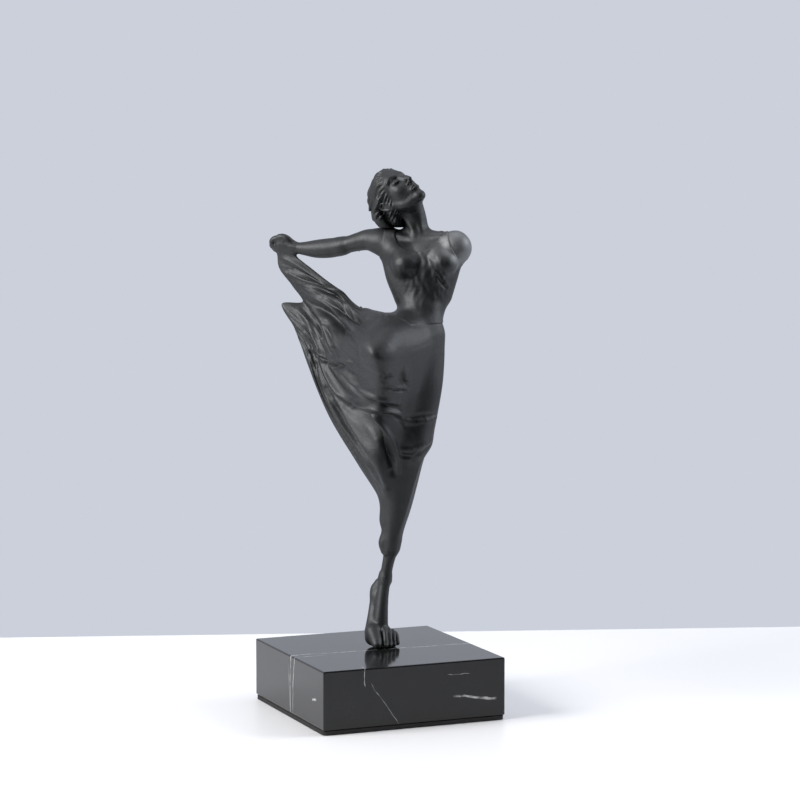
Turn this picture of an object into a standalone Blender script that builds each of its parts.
"""Bronze statuette of a dancer on one foot, mounted on a square marble plinth.

The bronze is six castings that are pinned together with dowels, and a threaded stud
clamps the foot to the plinth. Nothing moves in use. The row frame has its origin at the
middle of the pad's underside, +Z up, and the plinth's front face towards -Y.
"""

import math

import bmesh
import bpy
from mathutils import Matrix, Vector

MM = 0.001

# Plinth and pad, in millimetres.
PLINTH_SIDE = 100.0
PLINTH_HEIGHT = 30.0
PLINTH_EDGE = 0.7
PAD_THICKNESS = 2.0
PAD_CORNER = 3.0

# Fastening, in millimetres: an M5 stud with a nut and two washers in a counterbore.
# The nut and the washers follow the stud's size, as standard ones do.
STUD_DIAMETER = 5.0
STUD_IN_FOOT = 8.5
STUD_PAST_NUT = 1.2
STUD_PLACE = (1.2, 6.0)  # under the ball of the foot, in the dancer's own frame
NUT_ACROSS_FLATS = 1.6 * STUD_DIAMETER
NUT_HEIGHT = 0.8 * STUD_DIAMETER
WASHER_DIAMETER = 3.0 * STUD_DIAMETER
WASHER_THICKNESS = 1.2
LOCK_WASHER_DIAMETER = 1.8 * STUD_DIAMETER
LOCK_WASHER_THICKNESS = 1.3
LOCK_WASHER_SLOT = 0.9
COUNTERBORE_DIAMETER = WASHER_DIAMETER + 7.0
HOLE_CLEARANCE = 0.75

# Dowels between castings, in millimetres.
DOWEL_RADIUS = 1.2
NECK_DOWEL_RADIUS = 1.8
WAIST_DOWEL_RADIUS = 3.0
DOWEL_REACH = 4.0
WAIST_DOWEL_REACH = 7.0

GAP = 0.3  # between faces that touch on the real object
FIGURE_HEIGHT = 248.9  # crown of the head above the plinth
FIGURE_TURN = -22.9  # degrees about +Z, of the figure on its plinth
SKIRT_THICKNESS = 2.0

# Modelling resolution.
VOXEL = 0.9
FIGURE_FACES = 8200
TUBE_SIDES = 18
TUBE_STEPS = 5
SKIRT_STEPS = (56, 40)
ROUND_SIDES = 32

MODELLED_HEIGHT = 248.9
SCALE = FIGURE_HEIGHT / MODELLED_HEIGHT

# The figure, in millimetres at its modelled height, in the dancer's own frame:
# x to the dancer's left, y to the dancer's back, z up from the plinth's top.
# A limb is a list of stations (x, y, z, radius).
LIMBS = {
    "ball_of_foot": [(-2.6, 3.6, 4.5, 4.4), (1.8, 5.8, 4.6, 4.8), (6.6, 8.6, 3.9, 3.9)],
    "great_toe": [(-2.4, 2.4, 7.6, 4.0), (-1.5, -0.8, 5.2, 3.5), (-0.8, -3.6, 3.4, 3.0),
                  (-0.5, -5.2, 2.3, 2.4)],
    "second_toe": [(3.0, 3.8, 8.6, 1.6), (3.6, 0.8, 8.2, 1.5), (3.9, -1.8, 5.2, 1.35),
                   (4.0, -3.2, 2.1, 1.5), (4.0, -3.8, 1.6, 1.4)],
    "third_toe": [(5.4, 5.0, 8.0, 1.5), (5.9, 2.2, 7.6, 1.4), (6.2, -0.4, 4.8, 1.25),
                  (6.3, -1.7, 2.0, 1.4), (6.3, -2.2, 1.5, 1.3)],
    "fourth_toe": [(7.4, 6.4, 7.2, 1.45), (8.0, 3.8, 6.6, 1.3), (8.3, 1.4, 4.2, 1.15),
                   (8.4, 0.3, 1.8, 1.3), (8.4, -0.1, 1.4, 1.2)],
    "little_toe": [(8.8, 8.0, 5.8, 1.4), (9.7, 5.8, 5.0, 1.2), (10.1, 3.8, 3.2, 1.1),
                   (10.2, 2.8, 1.6, 1.2)],
    "instep": [(0.8, 6.0, 6.6, 4.6), (1.2, 6.0, 13.0, 4.0), (2.2, 7.2, 24.0, 3.2),
               (3.6, 8.6, 35.0, 2.9)],
    "sole": [(-3.4, 5.4, 8.0, 3.6), (-2.6, 9.6, 16.0, 2.8), (-1.0, 12.8, 24.0, 3.2)],
    "heel": [(1.6, 10.4, 22.0, 3.4), (-0.4, 13.6, 27.0, 4.0), (0.6, 13.4, 31.0, 2.9)],
    "achilles": [(0.4, 13.4, 29.0, 2.4), (2.6, 12.2, 37.0, 1.6), (5.0, 11.4, 47.0, 2.0)],
    "ankle_in": [(1.4, 8.6, 35.0, 1.5), (1.8, 8.6, 37.6, 1.1)],
    "ankle_out": [(5.6, 9.8, 33.6, 1.5), (5.8, 9.4, 36.4, 1.1)],
    "shin": [(3.8, 8.6, 34.0, 2.9), (4.8, 8.4, 41.0, 3.0), (6.0, 8.4, 47.0, 3.3),
             (7.0, 8.2, 55.0, 4.0)],
    "calf": [(7.2, 8.4, 52.0, 4.4), (8.4, 8.6, 62.0, 5.4), (10.6, 9.6, 74.0, 7.0),
             (13.4, 9.8, 88.0, 7.8), (16.6, 8.6, 100.0, 7.7), (19.4, 6.4, 109.0, 8.2)],
    "calf_muscle": [(9.0, 12.6, 68.0, 4.0), (12.0, 14.4, 82.0, 6.0), (15.6, 12.8, 97.0, 5.0)],
    "knee": [(19.0, 1.6, 104.0, 5.2), (20.2, 0.8, 110.0, 5.8), (21.4, 2.2, 117.0, 5.6)],
    "standing_thigh": [(19.8, 6.4, 109.0, 8.6), (22.0, 6.2, 122.0, 9.0), (24.0, 7.0, 138.0, 9.7),
                       (25.2, 9.0, 152.0, 9.8), (25.6, 10.0, 162.0, 9.8)],
    "raised_thigh": [(15.0, 9.0, 162.6, 9.4), (10.0, -6.0, 163.0, 9.4), (5.0, -18.0, 162.2, 8.9),
                     (1.4, -26.0, 160.6, 7.8), (-0.4, -31.0, 159.2, 6.2)],
    "raised_shin": [(-0.4, -25.0, 156.6, 6.0), (2.4, -6.0, 142.0, 5.2), (5.2, 6.0, 130.6, 5.0),
                    (7.0, 13.0, 121.4, 4.4), (8.0, 18.0, 113.0, 3.4)],
    "raised_calf": [(3.0, 0.0, 134.0, 4.2), (5.4, 7.0, 127.0, 4.6), (7.4, 13.0, 119.0, 3.8)],
    "raised_heel": [(6.6, 20.6, 113.6, 2.8), (6.0, 22.4, 110.4, 2.9)],
    "raised_foot": [(8.0, 18.6, 113.0, 3.2), (9.6, 20.4, 106.0, 3.3), (12.4, 21.0, 99.0, 3.2),
                    (14.6, 19.8, 93.0, 2.8), (15.8, 18.0, 88.4, 1.8)],
    "neck": [(21.4, 20.0, 211.0, 6.8), (20.6, 20.2, 217.0, 6.0), (19.4, 19.8, 224.0, 5.8),
             (17.0, 19.0, 231.0, 6.2)],
    "left_trapezius": [(20.6, 22.8, 220.0, 3.0), (24.6, 21.4, 213.6, 3.2), (32.0, 17.6, 212.2, 3.4)],
    "right_trapezius": [(18.0, 23.0, 220.0, 3.0), (13.6, 23.8, 214.0, 3.2), (8.0, 23.6, 212.6, 3.6)],
    "left_clavicle": [(23.4, 13.4, 212.2, 1.5), (30.0, 10.8, 213.4, 1.4), (37.0, 9.6, 214.0, 1.6)],
    "right_clavicle": [(18.6, 14.4, 212.2, 1.5), (12.4, 16.0, 213.6, 1.4), (6.6, 19.4, 215.0, 1.6)],
    "left_cord": [(22.6, 14.0, 212.6, 1.5), (22.2, 15.0, 218.0, 1.3), (20.4, 17.6, 226.0, 1.5)],
    "right_cord": [(19.8, 14.2, 212.6, 1.4), (17.6, 15.4, 219.0, 1.3), (12.4, 18.6, 227.0, 1.5)],
    "left_shoulder_line": [(22.0, 19.6, 211.6, 6.0), (31.0, 16.0, 210.4, 5.8), (39.0, 12.4, 208.8, 6.2)],
    "right_shoulder_line": [(21.0, 20.0, 211.6, 6.0), (13.0, 22.0, 210.6, 5.6), (6.0, 23.0, 210.0, 6.0)],
    "left_side": [(38.6, 14.6, 204.0, 5.6), (35.4, 15.6, 194.0, 6.0), (33.4, 15.2, 184.0, 4.8)],
    "right_side": [(6.6, 21.6, 206.0, 5.2), (10.4, 18.4, 194.0, 5.8), (14.0, 16.0, 184.0, 4.8)],
    "left_chest": [(40.0, 11.4, 206.6, 5.4), (33.0, 10.0, 203.8, 6.0)],
    "right_chest": [(5.6, 21.8, 208.6, 5.0), (13.0, 12.8, 203.8, 6.0)],
    "spine_left": [(27.4, 27.6, 205.0, 3.6), (27.0, 26.0, 192.0, 3.8), (26.0, 23.4, 180.0, 4.0)],
    "spine_right": [(17.6, 29.0, 205.0, 3.6), (18.6, 26.6, 192.0, 3.8), (19.0, 24.0, 180.0, 4.0)],
    "right_upper_arm": [(7.0, 23.2, 210.6, 6.6), (1.0, 25.0, 211.2, 6.2), (-5.0, 27.4, 211.8, 5.4),
                        (-10.0, 30.0, 211.0, 4.9), (-15.0, 32.8, 209.6, 4.5), (-20.0, 35.4, 208.4, 4.6)],
    "right_forearm": [(-19.0, 35.0, 208.4, 4.6), (-25.0, 38.0, 207.4, 5.2), (-32.0, 41.0, 206.8, 4.9),
                      (-38.0, 43.4, 206.8, 3.8), (-42.5, 45.2, 207.2, 2.9), (-45.4, 46.4, 207.8, 2.6)],
    "right_palm": [(-44.8, 46.2, 207.4, 2.8), (-48.0, 47.8, 208.6, 3.5), (-51.6, 49.4, 209.4, 3.7)],
    "right_index": [(-50.4, 47.0, 211.0, 1.9), (-54.8, 48.6, 212.0, 1.7), (-57.0, 49.8, 210.2, 1.5),
                    (-55.2, 50.4, 207.6, 1.4)],
    "right_middle": [(-51.0, 49.2, 210.4, 1.9), (-55.4, 50.8, 210.8, 1.7), (-57.0, 51.8, 208.4, 1.5),
                     (-54.6, 52.0, 206.2, 1.4)],
    "right_ring": [(-50.4, 51.0, 209.2, 1.8), (-54.6, 52.8, 209.0, 1.6), (-55.8, 53.4, 206.6, 1.4),
                   (-53.0, 53.2, 205.0, 1.3)],
    "right_little": [(-49.0, 52.2, 207.8, 1.6), (-52.8, 54.0, 207.2, 1.4), (-53.6, 54.4, 205.2, 1.3),
                     (-51.2, 53.8, 204.2, 1.2)],
    "right_thumb": [(-46.4, 46.4, 209.4, 2.1), (-48.6, 46.0, 211.8, 1.9), (-51.0, 46.6, 213.0, 1.7),
                    (-53.0, 47.4, 213.0, 1.5)],
    "left_upper_arm": [(40.4, 11.4, 209.0, 7.3), (42.0, 17.0, 207.6, 6.8), (41.6, 26.0, 204.6, 5.4),
                       (38.6, 40.0, 199.2, 4.8), (35.8, 50.0, 195.4, 4.6)],
    "left_forearm": [(35.6, 50.0, 195.4, 4.5), (33.4, 49.6, 188.0, 5.0), (31.0, 46.6, 181.0, 4.4),
                     (28.0, 42.8, 173.0, 3.2), (26.4, 40.6, 168.0, 2.8)],
    "left_palm": [(26.4, 40.4, 168.0, 2.7), (25.2, 38.8, 163.4, 3.0), (24.4, 37.6, 160.0, 3.2)],
    "left_index": [(26.6, 36.8, 159.6, 1.7), (26.4, 35.8, 154.8, 1.5), (25.8, 35.4, 150.6, 1.3)],
    "left_middle": [(24.8, 37.4, 158.6, 1.7), (24.4, 36.6, 153.4, 1.5), (23.6, 36.4, 148.8, 1.3)],
    "left_ring": [(23.0, 38.2, 158.8, 1.6), (22.2, 37.6, 153.8, 1.4), (21.4, 37.6, 149.6, 1.2)],
    "left_little": [(21.6, 39.0, 159.8, 1.5), (20.4, 38.8, 155.6, 1.3), (19.6, 38.8, 152.2, 1.1)],
    "left_thumb": [(27.6, 39.0, 164.0, 1.9), (29.4, 36.8, 160.6, 1.6), (29.6, 35.6, 157.4, 1.3)],
    "hem": [(6.1, 8.6, 50.0, 4.2), (7.0, 8.5, 56.0, 4.9), (8.6, 9.0, 66.0, 5.8)],
    "hem_tail": [(4.6, 9.0, 80.0, 2.6), (4.0, 8.4, 73.0, 2.4), (4.0, 8.4, 66.0, 3.2), (4.6, 8.0, 60.4, 2.5),
                 (3.2, 8.0, 54.0, 3.0), (4.2, 8.0, 48.6, 2.2)],
}

# Rounded masses: centre, three radii, and the turn about +Z in degrees.
MASSES = {
    "pelvis": ((21.0, 11.5, 165.0), (13.4, 11.4, 13.0), -8),
    "left_buttock": ((27.0, 18.6, 157.0), (8.2, 9.6, 10.5), 0),
    "right_buttock": ((14.4, 19.6, 160.0), (8.6, 9.4, 10.5), 0),
    "belly": ((21.8, 8.6, 173.0), (9.4, 6.8, 10.0), -8),
    "waist": ((23.0, 15.0, 181.5), (12.8, 9.4, 14.0), -12),
    "ribs": ((22.6, 16.0, 195.0), (16.4, 11.6, 16.0), -18),
    "upper_chest": ((22.6, 17.6, 206.0), (16.6, 9.4, 9.0), -20),
    "left_breast": ((34.2, 6.6, 200.8), (7.0, 7.0, 6.6), 0),
    "right_breast": ((14.4, 8.8, 199.8), (6.8, 7.2, 6.6), 0),
    "left_shoulder_blade": ((33.0, 23.6, 203.0), (5.6, 3.6, 8.0), -20),
    "right_shoulder_blade": ((11.6, 28.0, 203.0), (5.6, 3.6, 8.0), -20),
    "left_deltoid": ((40.6, 12.6, 208.6), (6.9, 7.4, 8.0), 0),
    "right_deltoid": ((2.6, 24.4, 210.6), (7.6, 6.6, 6.2), 20),
}

# Head: a frame of its face, crown and right-ear directions, and its masses and hair in that frame.
HEAD_CENTRE = Vector((9.8, 18.6, 236.0))
FACE_DIRECTION = Vector((0.16, -0.50, 0.85)).normalized()
CROWN_DIRECTION = Vector((-0.76, 0.48, 0.43))
HEAD_MASSES = {
    "hair_cap": ((-2.8, 2.6, 0.0), (12.7, 12.7, 10.6)),
    "forehead": ((3.0, 4.6, 0.0), (8.4, 8.6, 8.6)),
    "face": ((2.6, -3.4, 0.0), (8.2, 11.2, 7.4)),
    "chin": ((6.8, -13.0, 0.0), (2.8, 3.4, 2.8)),
    "under_jaw": ((1.6, -11.2, 0.0), (6.2, 3.6, 4.4)),
    "nose": ((10.9, -3.4, 0.0), (2.2, 3.6, 1.5)),
    "left_ear": ((-3.2, -1.8, -9.8), (2.4, 4.0, 1.4)),
    "right_ear": ((-3.2, -1.8, 9.8), (2.4, 4.0, 1.4)),
    "chignon": ((-13.4, 1.8, 1.0), (6.8, 7.8, 8.8)),
    "nape": ((-9.6, -4.2, 1.0), (4.8, 4.4, 7.2)),
}
HAIR_ROLLS = {
    "left_roll": [(-1.0, 3.6, -10.4, 1.5), (-6.4, 3.2, -10.6, 2.1), (-12.0, 0.0, -9.4, 2.6),
                  (-16.0, -3.6, -5.6, 2.8)],
    "right_roll": [(-1.0, 3.6, 10.4, 1.5), (-6.4, 3.2, 10.8, 2.1), (-12.0, 0.4, 10.2, 2.6),
                   (-16.4, -3.2, 6.8, 2.8)],
    "under_roll": [(-6.0, -4.4, 8.4, 1.6), (-10.4, -6.2, 6.0, 2.3), (-13.0, -6.6, 1.0, 2.7),
                   (-11.0, -6.2, -4.6, 2.3), (-6.0, -4.4, -8.0, 1.6)],
    "left_wave": [(3.6, 9.0, -4.6, 1.4), (-3.0, 12.0, -5.4, 2.0), (-10.0, 9.8, -5.6, 2.2),
                  (-15.6, 5.0, -4.6, 2.4)],
    "right_wave": [(3.6, 9.0, 4.6, 1.4), (-3.0, 12.0, 5.4, 2.0), (-10.0, 9.8, 5.8, 2.2),
                   (-15.6, 5.4, 5.6, 2.4)],
    "middle_wave": [(4.0, 10.4, 0.2, 1.4), (-3.0, 13.2, -0.4, 2.1), (-11.0, 10.8, 0.4, 2.3),
                    (-17.4, 5.6, 0.4, 2.6)],
}

# The skirt's cloth, as rows of control points along its folds. The first row is its upper
# edge, from the hand to the waist, and the last one is its lower edge, down to the ankle.
SKIRT_ROWS = [
    [
        (-53.6, 50.0, 207.6), (-41.8, 44.0, 200.8), (-25.6, 34.0, 189.0),
        (-6.9, 24.0, 174.8), (9.4, 14.0, 174.0), (20.0, 6.0, 175.0), (29.0, 9.0, 174.0),
    ],
    [
        (-53.3, 50.0, 196.9), (-39.1, 42.0, 191.9), (-22.9, 30.0, 182.9),
        (-8.4, 13.0, 174.2), (2.0, -13.0, 171.4), (15.5, -7.0, 170.4), (31.0, 7.0, 170.0),
    ],
    [
        (-46.2, 46.0, 187.4), (-35.3, 38.0, 184.6), (-21.1, 22.0, 175.9),
        (-12.2, -3.0, 165.0), (-2.4, -37.0, 158.6), (15.0, -19.6, 158.4), (32.0, 6.5, 161.0),
    ],
    [
        (-40.2, 42.0, 178.6), (-32.0, 33.0, 170.0), (-23.6, 16.0, 157.6),
        (-10.5, -14.0, 151.0), (2.4, -32.0, 146.6), (18.0, -12.0, 146.4), (31.5, 6.0, 147.0),
    ],
    [
        (-51.5, 44.0, 177.4), (-39.0, 35.0, 164.5), (-28.1, 24.0, 152.0),
        (-13.5, 2.0, 137.3), (1.0, -17.0, 130.5), (15.0, -7.0, 126.6), (28.0, 3.0, 122.0),
    ],
    [
        (-46.1, 41.0, 168.4), (-37.4, 33.0, 155.1), (-28.2, 24.0, 136.1),
        (-12.2, 10.0, 115.8), (0.0, -2.5, 100.0), (8.6, 0.6, 84.0), (13.4, 4.6, 70.0),
    ],
    [
        (-41.8, 38.0, 160.5), (-36.8, 31.0, 144.6), (-25.6, 23.0, 118.7),
        (-11.0, 16.0, 95.4), (1.6, 10.0, 76.0), (4.4, 8.0, 62.0), (6.0, 8.0, 51.0),
    ],
]

# Seams between castings: a point and the direction that the outer casting lies in.
NECK_SEAM = (Vector((19.8, 19.8, 218.7)), Vector((0.0, 0.0, 1.0)))
WAIST_SEAM = (Vector((22.8, 14.6, 179.0)), Vector((0.0, 0.0, 1.0)))
RIGHT_SHOULDER_SEAM = (Vector((0.4, 24.8, 211.6)), Vector((-0.88, 0.45, -0.10)))
LEFT_SHOULDER_SEAM = (Vector((41.2, 21.0, 207.0)), Vector((0.5, 1.0, 0.05)))
GRIP_SEAM = (Vector((-50.0, 49.0, 203.9)), Vector((0.2, 0.0, 1.0)))
SKIRT_SEAM = (Vector((-10.4, 10.0, 165.0)), Vector((-1.0, 0.0, 0.0)))

BRONZE = ("bronze", (0.035, 0.036, 0.040), 0.42, 1.0)
DOWEL_BRONZE = ("dowel_bronze", (0.45, 0.28, 0.12), 0.40, 1.0)
MARBLE = ("black_marble", (0.012, 0.012, 0.014), 0.12, 0.0)
PAD = ("pad_foam", (0.010, 0.010, 0.011), 0.95, 0.0)
STEEL = ("zinc_steel", (0.55, 0.56, 0.58), 0.35, 1.0)

PLINTH_BOTTOM = PAD_THICKNESS + GAP
PLINTH_TOP = PLINTH_BOTTOM + PLINTH_HEIGHT
FIGURE_BASE = PLINTH_TOP + GAP
COUNTERBORE_DEPTH = (
    WASHER_THICKNESS + LOCK_WASHER_THICKNESS + NUT_HEIGHT + STUD_PAST_NUT + 4 * GAP
)


def clear_scene():
    for obj in list(bpy.data.objects):
        bpy.data.objects.remove(obj, do_unlink=True)


def material(spec):
    name, colour, roughness, metallic = spec
    made = bpy.data.materials.get(name)
    if made is None:
        made = bpy.data.materials.new(name)
        made.use_nodes = True
        shader = made.node_tree.nodes["Principled BSDF"]
        shader.inputs["Base Color"].default_value = (*colour, 1.0)
        shader.inputs["Roughness"].default_value = roughness
        shader.inputs["Metallic"].default_value = metallic
    return made


def add_object(name, bm, spec, smooth=False, place=None):
    """Puts a bmesh in the scene as one named object with one material."""
    bmesh.ops.recalc_face_normals(bm, faces=bm.faces)
    mesh = bpy.data.meshes.new(name)
    bm.to_mesh(mesh)
    bm.free()
    mesh.materials.append(material(spec))
    if smooth:
        mesh.shade_smooth()
        mesh.set_sharp_from_angle(angle=math.radians(40))
    obj = bpy.data.objects.new(name, mesh)
    if place:
        obj.matrix_world = place
    bpy.context.scene.collection.objects.link(obj)
    return obj


def evaluated_mesh(obj):
    bpy.context.view_layer.update()
    graph = bpy.context.evaluated_depsgraph_get()
    return bpy.data.meshes.new_from_object(obj.evaluated_get(graph))


def turned_solid(bm, profile, sides=ROUND_SIDES):
    """Spins a closed (radius, z) profile in millimetres about +Z."""
    points = [bm.verts.new((r * MM, 0.0, z * MM)) for r, z in profile]
    edges = [bm.edges.new((a, b)) for a, b in zip(points, points[1:] + points[:1])]
    bmesh.ops.spin(
        bm,
        geom=points + edges,
        cent=(0.0, 0.0, 0.0),
        axis=(0.0, 0.0, 1.0),
        angle=math.tau,
        steps=sides,
        use_merge=True,
    )
    bmesh.ops.remove_doubles(bm, verts=bm.verts, dist=0.001 * MM)


def ring_solid(name, spec, inner, outer, bottom, top):
    """A ring on the stud's axis, or a plain cylinder where inner is 0."""
    bm = bmesh.new()
    if inner:
        turned_solid(bm, [(inner, bottom), (outer, bottom), (outer, top), (inner, top)])
    else:
        bmesh.ops.create_cone(
            bm,
            cap_ends=True,
            segments=ROUND_SIDES,
            radius1=outer * MM,
            radius2=outer * MM,
            depth=(top - bottom) * MM,
            matrix=Matrix.Translation((0.0, 0.0, (top + bottom) / 2 * MM)),
        )
    return add_object(name, bm, spec, smooth=True, place=stud_place())


def cut_away(obj, cutter):
    """Takes a helper object, which isn't a part, away from obj."""
    cutter.hide_render = True
    cutter.display_type = "WIRE"
    boolean = obj.modifiers.new("Cut", "BOOLEAN")
    boolean.operation = "DIFFERENCE"
    boolean.object = cutter


# ---- Plinth and its fastening ----


def stud_radius():
    return STUD_DIAMETER / 2


def stud_place():
    """The stud's axis in the row frame, as a translation in metres."""
    return Matrix.Translation((figure_matrix() @ Vector((*STUD_PLACE, 0.0))).xy.to_3d())


def hole_radius():
    return stud_radius() + HOLE_CLEARANCE


def build_plinth():
    """A marble block with eased edges, a through hole and a counterbore from below."""
    bm = bmesh.new()
    middle = (PLINTH_BOTTOM + PLINTH_TOP) / 2 * MM
    bmesh.ops.create_cube(
        bm,
        size=1.0,
        matrix=Matrix.Translation((0.0, 0.0, middle))
        @ Matrix.Diagonal((PLINTH_SIDE * MM, PLINTH_SIDE * MM, PLINTH_HEIGHT * MM, 1.0)),
    )
    bmesh.ops.bevel(
        bm,
        geom=bm.edges[:],
        offset=PLINTH_EDGE * MM,
        segments=2,
        profile=0.5,
        affect="EDGES",
    )
    plinth = add_object("marble_plinth", bm, MARBLE)
    ledge = PLINTH_BOTTOM + COUNTERBORE_DEPTH
    overrun = 5.0
    bore = COUNTERBORE_DIAMETER / 2
    cutter = bmesh.new()
    turned_solid(
        cutter,
        [
            (0.0, PLINTH_TOP + overrun),
            (hole_radius(), PLINTH_TOP + overrun),
            (hole_radius(), ledge),
            (bore, ledge),
            (bore, PLINTH_BOTTOM - overrun),
            (0.0, PLINTH_BOTTOM - overrun),
        ],
    )
    cut_away(plinth, add_object("plinth_bore_cutter", cutter, MARBLE, place=stud_place()))


def build_pad():
    """A foam pad glued under the plinth, with rounded corners."""
    side = PLINTH_SIDE * MM
    bm = bmesh.new()
    bmesh.ops.create_cube(
        bm,
        size=1.0,
        matrix=Matrix.Translation((0.0, 0.0, PAD_THICKNESS / 2 * MM))
        @ Matrix.Diagonal((side, side, PAD_THICKNESS * MM, 1.0)),
    )
    upright = [e for e in bm.edges if abs(e.verts[0].co.z - e.verts[1].co.z) > 0.5 * PAD_THICKNESS * MM]
    bmesh.ops.bevel(
        bm, geom=upright, offset=PAD_CORNER * MM, segments=5, profile=0.5, affect="EDGES"
    )
    add_object("base_pad", bm, PAD)


def build_fastening():
    """The stud from the foot down to the nut, and the washers that the nut pulls up."""
    ledge = PLINTH_BOTTOM + COUNTERBORE_DEPTH
    washer_top = ledge - GAP
    washer_bottom = washer_top - WASHER_THICKNESS
    lock_top = washer_bottom - GAP
    lock_bottom = lock_top - LOCK_WASHER_THICKNESS
    nut_top = lock_bottom - GAP
    nut_bottom = nut_top - NUT_HEIGHT
    inner = stud_radius() + GAP

    ring_solid(
        "mounting_stud",
        STEEL,
        0.0,
        stud_radius(),
        nut_bottom - STUD_PAST_NUT,
        FIGURE_BASE + STUD_IN_FOOT,
    )
    ring_solid("plate_washer", STEEL, inner, WASHER_DIAMETER / 2, washer_bottom, washer_top)

    lock = ring_solid(
        "lock_washer", STEEL, inner, LOCK_WASHER_DIAMETER / 2, lock_bottom, lock_top
    )
    slot = bmesh.new()
    reach = LOCK_WASHER_DIAMETER * MM
    bmesh.ops.create_cube(
        slot,
        size=1.0,
        matrix=Matrix.Translation((reach / 2, 0.0, (lock_top + lock_bottom) / 2 * MM))
        @ Matrix.Rotation(math.radians(20), 4, "X")
        @ Matrix.Diagonal((reach, LOCK_WASHER_SLOT * MM, 4 * LOCK_WASHER_THICKNESS * MM, 1.0)),
    )
    cut_away(lock, add_object("lock_washer_slot", slot, STEEL, place=stud_place()))

    nut = bmesh.new()
    bmesh.ops.create_cone(
        nut,
        cap_ends=True,
        segments=6,
        radius1=NUT_ACROSS_FLATS / math.sqrt(3) * MM,
        radius2=NUT_ACROSS_FLATS / math.sqrt(3) * MM,
        depth=NUT_HEIGHT * MM,
        matrix=Matrix.Translation((0.0, 0.0, (nut_top + nut_bottom) / 2 * MM)),
    )
    nut_object = add_object("hex_nut", nut, STEEL, place=stud_place())
    overrun = 2.0
    bore = ring_solid("nut_bore_cutter", STEEL, 0.0, inner, nut_bottom - overrun, nut_top + overrun)
    cut_away(nut_object, bore)


# ---- The figure ----


def figure_matrix():
    """From the dancer's own millimetres to the row frame's metres."""
    return (
        Matrix.Translation((0.0, 0.0, FIGURE_BASE * MM))
        @ Matrix.Rotation(math.radians(FIGURE_TURN), 4, "Z")
        @ Matrix.Scale(SCALE * MM, 4)
    )


def smooth_between(a, b, c, d, t):
    """Catmull-Rom interpolation from b to c."""
    return 0.5 * (
        2 * b + (c - a) * t + (2 * a - 5 * b + 4 * c - d) * t**2 + (3 * b - a - 3 * c + d) * t**3
    )


def smooth_line(points, steps):
    """A smooth curve through points, which are vectors of any size."""
    points = [Vector(p) for p in points]
    ends = [2 * points[0] - points[1], *points, 2 * points[-1] - points[-2]]
    line = []
    for i in range(len(points) - 1):
        for step in range(steps):
            line.append(smooth_between(*ends[i : i + 4], step / steps))
    line.append(points[-1])
    return line


def add_limb(bm, stations):
    """A round tube through the stations, with a ball at each end."""
    line = smooth_line(stations, TUBE_STEPS)
    centres = [p.to_3d() for p in line]
    radii = [p[3] for p in line]
    side = (centres[1] - centres[0]).orthogonal().normalized()
    rings = []
    for i, (centre, radius) in enumerate(zip(centres, radii)):
        ahead = centres[min(i + 1, len(centres) - 1)] - centres[max(i - 1, 0)]
        side = (side - side.project(ahead)).normalized()
        other = ahead.cross(side).normalized()
        ring = []
        for k in range(TUBE_SIDES):
            angle = math.tau * k / TUBE_SIDES
            ring.append(bm.verts.new(centre + radius * (side * math.cos(angle) + other * math.sin(angle))))
        rings.append(ring)
    for near, far in zip(rings, rings[1:]):
        for k in range(TUBE_SIDES):
            after = (k + 1) % TUBE_SIDES
            bm.faces.new((near[k], near[after], far[after], far[k]))
    bm.faces.new(reversed(rings[0]))
    bm.faces.new(rings[-1])
    for end in (0, -1):
        bmesh.ops.create_icosphere(
            bm, subdivisions=2, radius=radii[end], matrix=Matrix.Translation(centres[end])
        )


def add_mass(bm, centre, radii, frame):
    place = Matrix.Translation(centre) @ frame @ Matrix.Diagonal((*radii, 1.0))
    bmesh.ops.create_icosphere(bm, subdivisions=3, radius=1.0, matrix=place)


def head_matrix():
    """From (face, crown, right ear) millimetres at the head's centre to the dancer's frame."""
    crown = (CROWN_DIRECTION - CROWN_DIRECTION.project(FACE_DIRECTION)).normalized()
    ear = FACE_DIRECTION.cross(crown)
    turn = Matrix((FACE_DIRECTION, crown, ear)).transposed().to_4x4()
    return Matrix.Translation(HEAD_CENTRE) @ turn


def body_bmesh():
    """All limbs and masses of the body as closed shapes that overlap."""
    bm = bmesh.new()
    for stations in LIMBS.values():
        add_limb(bm, stations)
    for centre, radii, turn in MASSES.values():
        add_mass(bm, Vector(centre), radii, Matrix.Rotation(math.radians(turn), 4, "Z"))
    head = head_matrix()
    turn = head.to_3x3().to_4x4()
    for centre, radii in HEAD_MASSES.values():
        add_mass(bm, head @ Vector(centre), radii, turn)
    for stations in HAIR_ROLLS.values():
        add_limb(bm, [(*(head @ Vector(place)), radius) for *place, radius in stations])
    return bm


def skirt_points():
    """The skirt's surface as a grid of points, smooth along and across its rows."""
    rows = [smooth_line(row, SKIRT_STEPS[0] // (len(row) - 1)) for row in SKIRT_ROWS]
    columns = [
        smooth_line(column, SKIRT_STEPS[1] // (len(SKIRT_ROWS) - 1)) for column in zip(*rows)
    ]
    return columns


def skirt_mesh():
    """The skirt's cloth as a closed sheet of even thickness."""
    bm = bmesh.new()
    grid = [[bm.verts.new(p) for p in column] for column in skirt_points()]
    for near, far in zip(grid, grid[1:]):
        for k in range(len(near) - 1):
            bm.faces.new((near[k], near[k + 1], far[k + 1], far[k]))
    sheet = add_object("skirt_guide", bm, BRONZE)
    solidify = sheet.modifiers.new("Solidify", "SOLIDIFY")
    solidify.thickness = SKIRT_THICKNESS / SCALE
    solidify.offset = 0.0
    made = evaluated_mesh(sheet)
    bpy.data.objects.remove(sheet)
    return made


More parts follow.
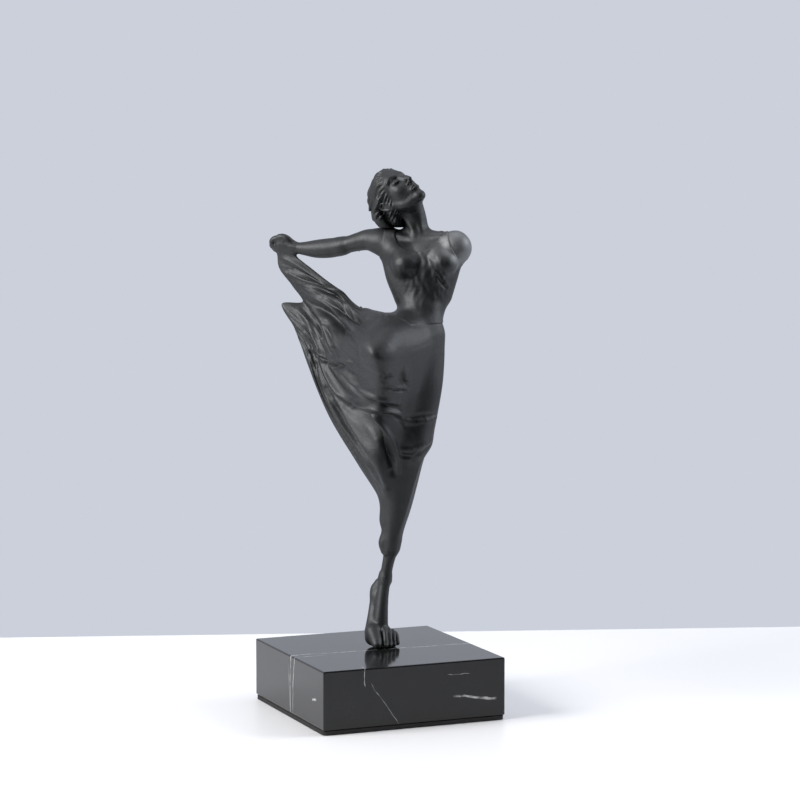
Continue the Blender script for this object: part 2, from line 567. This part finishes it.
def figure_mesh():
    """The whole bronze as one closed skin, still uncut, in the row frame."""
    bm = body_bmesh()
    bm.from_mesh(skirt_mesh())
    guide = add_object("figure_guide", bm, BRONZE)
    remesh = guide.modifiers.new("Remesh", "REMESH")
    remesh.mode = "VOXEL"
    remesh.voxel_size = VOXEL
    soften = guide.modifiers.new("Smooth", "SMOOTH")
    soften.factor = 0.5
    soften.iterations = 3
    fine = evaluated_mesh(guide)
    decimate = guide.modifiers.new("Decimate", "DECIMATE")
    decimate.ratio = FIGURE_FACES / (2 * len(fine.polygons))
    made = evaluated_mesh(guide)
    bpy.data.objects.remove(guide)
    made.transform(figure_matrix())
    return made


def row_seam(seam, side):
    """A seam's plane in the row frame, moved half a gap towards the kept side."""
    point, direction = seam
    place = figure_matrix()
    normal = side * (place.to_3x3() @ direction).normalized()
    return place @ point + normal * (GAP / 2 * MM), normal


def keep_largest(bm):
    """Drops all but the body with the most vertices."""
    left = set(bm.verts)
    bodies = []
    while left:
        body, edge = set(), [left.pop()]
        while edge:
            vert = edge.pop()
            body.add(vert)
            for link in vert.link_edges:
                other = link.other_vert(vert)
                if other in left:
                    left.remove(other)
                    edge.append(other)
        bodies.append(body)
    largest = max(bodies, key=len)
    extra = [v for body in bodies if body is not largest for v in body]
    bmesh.ops.delete(bm, geom=extra, context="VERTS")


def add_casting(name, whole, seams):
    """The part of the whole bronze on the given side of each seam, closed at the cuts."""
    bm = bmesh.new()
    bm.from_mesh(whole)
    for seam, side in seams:
        point, normal = row_seam(seam, side)
        cut = bmesh.ops.bisect_plane(
            bm,
            geom=bm.verts[:] + bm.edges[:] + bm.faces[:],
            dist=0.01 * MM,
            plane_co=point,
            plane_no=normal,
            clear_inner=True,
        )
        rim = [e for e in cut["geom_cut"] if isinstance(e, bmesh.types.BMEdge) and e.is_boundary]
        bmesh.ops.edgeloop_fill(bm, edges=rim)
    keep_largest(bm)
    bmesh.ops.triangulate(bm, faces=[f for f in bm.faces if len(f.verts) > 4])
    return add_object(name, bm, BRONZE, smooth=True)


def add_dowel(name, seam, radius, reach, castings, offset=(0.0, 0.0, 0.0)):
    """A pin across a seam, and its hole in the castings on both sides."""
    point, direction = seam
    place = figure_matrix()
    centre = place @ (point + Vector(offset))
    along = (place.to_3x3() @ direction).normalized()
    turn = along.to_track_quat("Z", "Y").to_matrix().to_4x4()
    for kind, grow in (("pin", 0.0), ("hole", GAP)):
        bm = bmesh.new()
        bmesh.ops.create_cone(
            bm,
            cap_ends=True,
            segments=16,
            radius1=(radius + grow) * MM,
            radius2=(radius + grow) * MM,
            depth=2 * (reach + grow) * MM,
            matrix=Matrix.Translation(centre) @ turn,
        )
        if kind == "pin":
            add_object(name, bm, DOWEL_BRONZE, smooth=True)
        else:
            hole = add_object(name + "_hole", bm, BRONZE)
            for casting in castings:
                cut_away(casting, hole)


def build_figure():
    whole = figure_mesh()
    head = add_casting("head", whole, [(NECK_SEAM, 1)])
    torso = add_casting(
        "torso",
        whole,
        [(NECK_SEAM, -1), (WAIST_SEAM, 1), (RIGHT_SHOULDER_SEAM, -1), (LEFT_SHOULDER_SEAM, -1)],
    )
    right_arm = add_casting("right_arm", whole, [(RIGHT_SHOULDER_SEAM, 1), (GRIP_SEAM, 1), (NECK_SEAM, -1)])
    left_arm = add_casting("left_arm", whole, [(LEFT_SHOULDER_SEAM, 1), (NECK_SEAM, -1)])
    lower_body = add_casting(
        "lower_body", whole, [(WAIST_SEAM, -1), (SKIRT_SEAM, -1), (LEFT_SHOULDER_SEAM, -1)]
    )
    skirt = add_casting("skirt", whole, [(SKIRT_SEAM, 1), (GRIP_SEAM, -1)])

    add_dowel("neck_dowel", NECK_SEAM, NECK_DOWEL_RADIUS, DOWEL_REACH, [head, torso])
    add_dowel("waist_dowel", WAIST_SEAM, WAIST_DOWEL_RADIUS, WAIST_DOWEL_REACH, [torso, lower_body])
    add_dowel("right_shoulder_dowel", RIGHT_SHOULDER_SEAM, DOWEL_RADIUS, DOWEL_REACH, [torso, right_arm])
    add_dowel("left_shoulder_dowel", LEFT_SHOULDER_SEAM, DOWEL_RADIUS, DOWEL_REACH, [torso, left_arm])

    foot_hole = ring_solid(
        "foot_hole_cutter",
        BRONZE,
        0.0,
        stud_radius() + GAP,
        PLINTH_TOP - 1.0,
        FIGURE_BASE + STUD_IN_FOOT + GAP,
    )
    cut_away(lower_body, foot_hole)


def main():
    clear_scene()
    build_pad()
    build_plinth()
    build_fastening()
    build_figure()


main()
